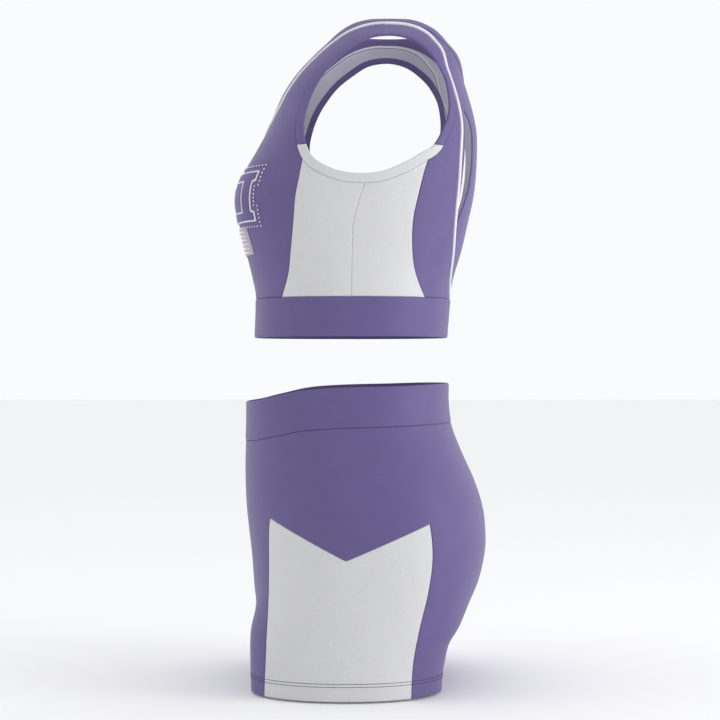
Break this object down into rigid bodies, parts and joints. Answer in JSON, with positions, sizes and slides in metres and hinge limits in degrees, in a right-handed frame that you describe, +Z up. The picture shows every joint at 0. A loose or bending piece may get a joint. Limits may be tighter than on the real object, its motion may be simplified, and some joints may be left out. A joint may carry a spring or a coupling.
{
  "type": "cheer uniform",
  "caption": "Cheer uniform: purple racerback crop top with white side panels and piping, chest emblem, and high-rise purple shorts with white thigh inserts.",
  "frame": {"origin": "on the floor plane, under the middle of the whole outfit's bounding box, at the bottom of the two leg hems", "axes": "+Z up, -Y the wearer's front, +X the wearer's left"},
  "size_m": [0.349, 0.2785, 0.719],
  "materials": {
    "purple_stretch_cloth": "soft satin stretch knit",
    "white_stretch_cloth": "matte stretch knit",
    "white_piping": "satin bias tape over cord",
    "soft_elastic": "brushed woven elastic",
    "emblem_white": "embroidered twill",
    "emblem_purple": "embroidered twill",
    "rhinestone_glitter": "faceted rhinestones on film"
  },
  "bodies": {
    "shorts": {"shorts_waistband": "purple_stretch_cloth", "shorts_waist_elastic": "soft_elastic", "shorts_side_insert_left": "white_stretch_cloth", "shorts_side_insert_right": "white_stretch_cloth", "shorts_gusset": "purple_stretch_cloth", "shorts_leg_panel_left": "purple_stretch_cloth", "shorts_leg_panel_right": "purple_stretch_cloth", "shorts_leg_hem_left": "purple_stretch_cloth", "shorts_leg_hem_right": "purple_stretch_cloth"},
    "top": {"top_front_panel": "purple_stretch_cloth", "top_back_panel_left": "purple_stretch_cloth", "top_back_panel_right": "purple_stretch_cloth", "top_side_front_left": "white_stretch_cloth", "top_side_front_right": "white_stretch_cloth", "top_side_back_left": "white_stretch_cloth", "top_side_back_right": "white_stretch_cloth", "top_neck_band": "purple_stretch_cloth", "top_racerback": "purple_stretch_cloth", "top_piping": "white_piping", "top_armhole_binding_left": "purple_stretch_cloth", "top_armhole_binding_right": "purple_stretch_cloth", "top_underarm_binding_left": "white_stretch_cloth", "top_underarm_binding_right": "white_stretch_cloth", "top_hem_band": "purple_stretch_cloth", "top_hem_elastic": "soft_elastic", "emblem_backing": "emblem_white", "emblem_face": "emblem_purple", "emblem_glitter_bar": "rhinestone_glitter"}
  },
  "joints": [
    {"name": "top_lift", "type": "slide", "parent": "shorts", "child": "top", "axis": [0, 0, 1], "range_m": [0, 0.4]}
  ]
}
